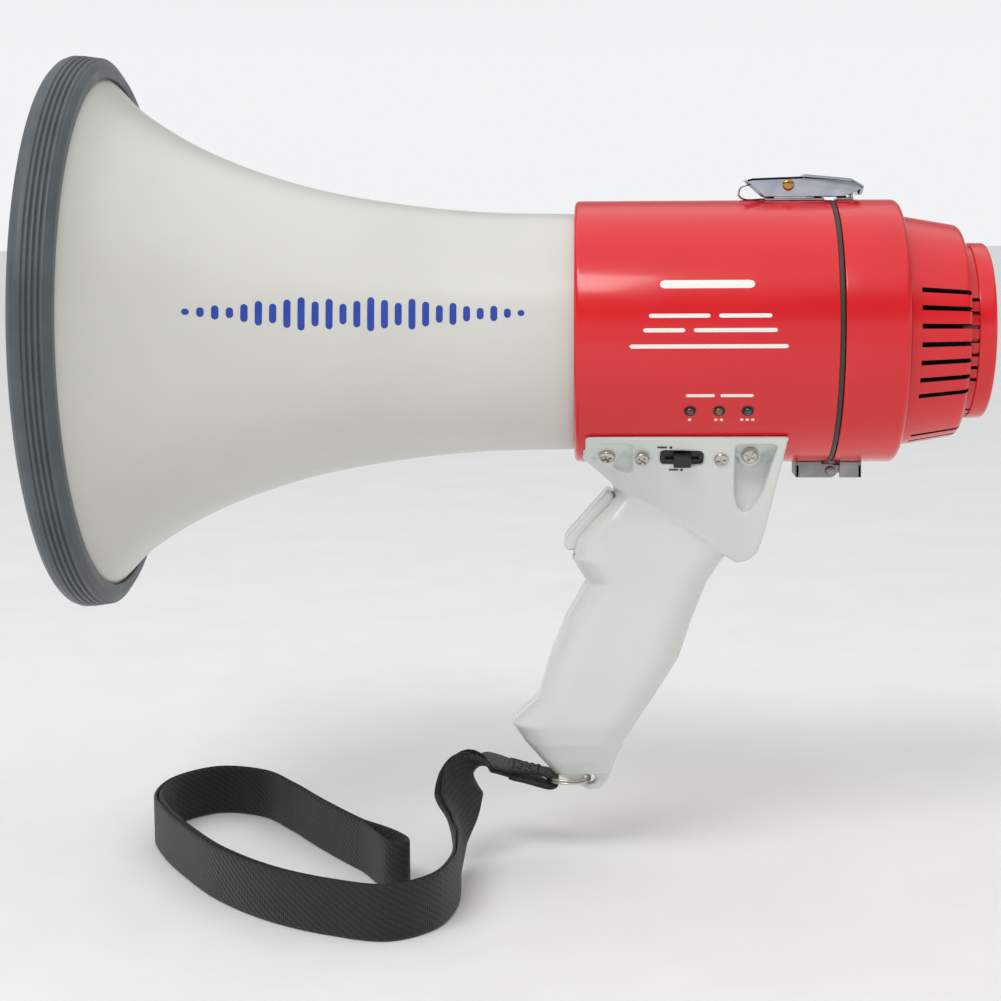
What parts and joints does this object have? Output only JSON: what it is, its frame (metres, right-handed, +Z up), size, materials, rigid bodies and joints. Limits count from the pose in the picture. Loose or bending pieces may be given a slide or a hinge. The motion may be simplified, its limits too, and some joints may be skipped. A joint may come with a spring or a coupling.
{
  "type": "handheld megaphone",
  "caption": "Handheld megaphone: flared reflex horn with rubber rim guard, round battery body, latched microphone cover, pistol grip with trigger, and webbing wrist strap.",
  "frame": {"origin": "middle of the pistol grip, where the hand holds it, on the mid-plane", "axes": "+X along the horn axis from the bell towards the microphone end, +Z up from the grip towards the horn, +Y to the side away from the mode switch"},
  "size_m": [0.345, 0.21, 0.31],
  "materials": {
    "bell_abs": "satin moulded ABS, warm light grey",
    "rim_rubber": "soft dark slate rubber",
    "reflector_abs": "satin moulded ABS",
    "driver_alloy": "die-cast",
    "diaphragm_film": "amber film",
    "coil_copper": "enamelled copper wire",
    "magnet_ferrite": "dark ferrite",
    "pole_steel": "zinc plated steel",
    "red_abs": "semi-gloss red ABS",
    "black_abs": "black ABS",
    "gasket_rubber": "dark rubber",
    "board_laminate": "green solder mask",
    "components": "chips, capacitors and a heat sink",
    "lens_dark": "tinted clear lens, unlit",
    "lens_amber": "tinted clear lens, unlit",
    "cell_jacket": "plain dark sleeve",
    "contact_nickel": "nickel plated",
    "grey_abs": "semi-gloss light grey ABS",
    "grille_black": "perforated black plastic",
    "foam": "open cell foam",
    "mic_can": "aluminium can",
    "knob_plastic": "knurled black plastic",
    "latch_chrome": "chromium plated steel",
    "rivet_brass": "brass",
    "hinge_zinc": "dull zinc plated steel",
    "screw_nickel": "nickel plated steel",
    "strap_webbing": "woven black webbing"
  },
  "bodies": {
    "main": {"horn_bell": "bell_abs", "throat_tube": "bell_abs", "rim_guard": "rim_rubber", "reflector": "reflector_abs", "driver_housing": "driver_alloy", "diaphragm": "diaphragm_film", "voice_coil": "coil_copper", "magnet": "magnet_ferrite", "front_plate": "pole_steel", "yoke": "pole_steel", "body_tube": "red_abs", "bulkhead": "black_abs", "battery_holder": "black_abs", "microswitch": "black_abs", "cover_gasket": "gasket_rubber", "amplifier_board": "board_laminate", "light_board": "board_laminate", "board_components": "components", "light_low": "lens_dark", "light_high": "lens_dark", "light_mid": "lens_amber", "battery_cells": "cell_jacket", "cell_contacts": "contact_nickel", "handle_left": "grey_abs", "handle_right": "grey_abs", "mode_switch": "knob_plastic", "latch_base": "latch_chrome", "latch_spring": "latch_chrome", "latch_pin": "rivet_brass", "latch_rivets": "rivet_brass", "hinge_body_leaf": "hinge_zinc", "hinge_pin": "hinge_zinc", "hinge_body_rivets": "hinge_zinc", "saddle_screws": "screw_nickel", "handle_screws": "screw_nickel", "switch_screws": "screw_nickel", "trigger_pin": "screw_nickel", "trigger_spring": "screw_nickel", "strap_neck": "strap_webbing", "strap_loop": "strap_webbing"},
    "cover": {"rear_cover": "red_abs", "mic_housing": "red_abs", "housing_screws": "screw_nickel", "end_ring": "red_abs", "mic_grille": "grille_black", "mic_foam": "foam", "mic_capsule": "mic_can", "volume_pot": "black_abs", "latch_keeper": "latch_chrome", "keeper_rivets": "rivet_brass", "hinge_cover_leaf": "hinge_zinc", "hinge_cover_rivets": "hinge_zinc"},
    "knob": {"volume_knob": "knob_plastic"},
    "latch": {"latch_lever": "latch_chrome"},
    "trigger_lever": {"trigger": "grey_abs"},
    "mode_slider": {"mode_knob": "knob_plastic"},
    "ring": {"split_ring": "screw_nickel", "strap_tab": "strap_webbing"}
  },
  "joints": [
    {"name": "cover_hinge", "type": "hinge", "parent": "main", "child": "cover", "pos_m": [0.0799, 0, 0.0656], "axis": [0, 1, 0], "range_deg": [0, 95]},
    {"name": "volume_turn", "type": "hinge", "parent": "cover", "child": "knob", "pos_m": [0.134, 0, 0.1335], "axis": [1, 0, 0], "range_deg": [0, 300]},
    {"name": "latch_pivot", "type": "hinge", "parent": "main", "child": "latch", "pos_m": [0.0629, 0, 0.1729], "axis": [0, 1, 0], "range_deg": [-8, 0], "stiffness_Nm_per_rad": 0.5, "springref_deg": 3.44, "deforming": ["latch_spring"]},
    {"name": "trigger_pull", "type": "hinge", "parent": "main", "child": "trigger_lever", "pos_m": [0.0006, 0, 0.0536], "axis": [0, 1, 0], "range_deg": [-7, 0], "stiffness_Nm_per_rad": 0.6, "springref_deg": 2.86, "deforming": ["trigger_spring"]},
    {"name": "mode_slide", "type": "slide", "parent": "main", "child": "mode_slider", "axis": [1, 0, 0], "range_m": [-0.0042, 0.0042]},
    {"name": "ring_swing", "type": "hinge", "parent": "main", "child": "ring", "pos_m": [-0.0111, 0, -0.0562], "axis": [0, 1, 0], "range_deg": [-20, 3], "deforming": ["strap_neck"]}
  ]
}
